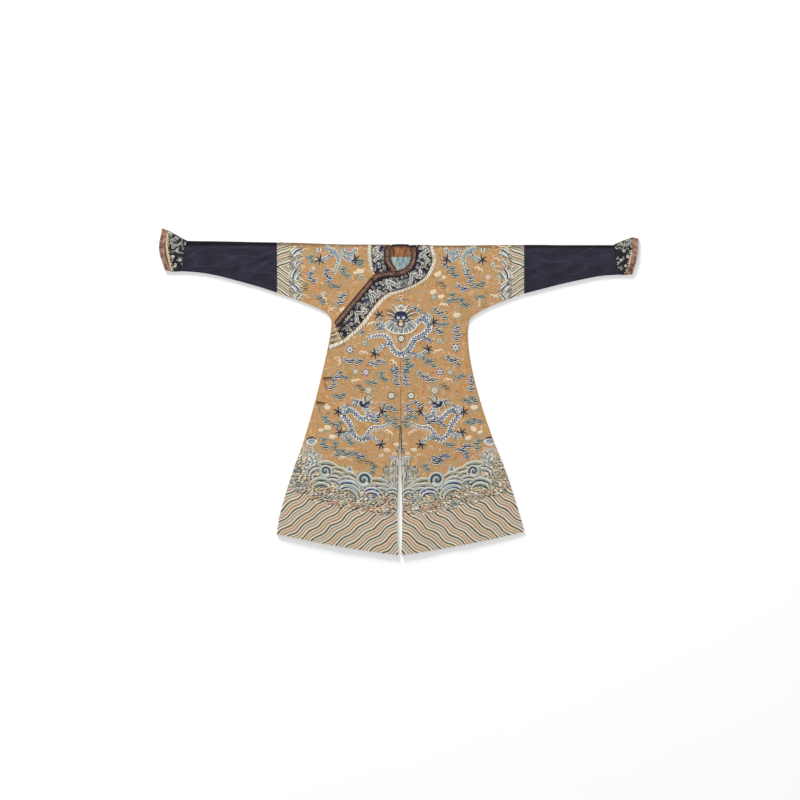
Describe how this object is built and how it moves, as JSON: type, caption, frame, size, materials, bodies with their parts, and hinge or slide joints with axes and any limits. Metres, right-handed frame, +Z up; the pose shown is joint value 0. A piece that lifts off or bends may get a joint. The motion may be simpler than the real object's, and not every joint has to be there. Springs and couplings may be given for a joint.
{
  "type": "dragon robe laid flat",
  "caption": "Chinese silk dragon robe laid flat, side-fastening, with flared hoof cuffs, a dark neckband and a split skirt.",
  "frame": {"origin": "middle of the robe's plan, on the surface it lies on", "axes": "+X towards the wearer's left sleeve, +Y from the hem to the collar, +Z up out of the front"},
  "size_m": [2.1813, 1.48, 0.022],
  "materials": {
    "yellow_silk": "satin silk, embroidered in coloured silks",
    "blue_silk": "dark blue ribbed silk, satin sheen",
    "neckband_silk": "blue-black silk, embroidered in grey and white",
    "brocade": "brown brocade",
    "lining_silk": "pale blue damask, soft sheen",
    "facing_silk": "orange-brown silk, soft sheen",
    "gilt_brass": "worn gilt",
    "loop_cord": "dark brown silk cord"
  },
  "bodies": {
    "root": {"binding_back_neck": "brocade", "binding_flap": "brocade", "binding_shoulder": "brocade", "body_left": "yellow_silk", "body_right": "yellow_silk", "button_collarbone": "gilt_brass", "button_neck": "gilt_brass", "button_side_lower": "gilt_brass", "button_side_upper": "gilt_brass", "button_underarm": "gilt_brass", "cuff_binding_left": "brocade", "cuff_binding_right": "brocade", "cuff_left": "neckband_silk", "cuff_right": "neckband_silk", "facing_back_neck": "facing_silk", "front_flap": "yellow_silk", "lining_back_neck": "lining_silk", "loop_collarbone": "loop_cord", "loop_neck": "loop_cord", "loop_side_lower": "loop_cord", "loop_side_upper": "loop_cord", "loop_underarm": "loop_cord", "neckband_flap": "neckband_silk", "neckband_shoulder": "neckband_silk", "sleeve_left": "blue_silk", "sleeve_right": "blue_silk"}
  },
  "joints": []
}
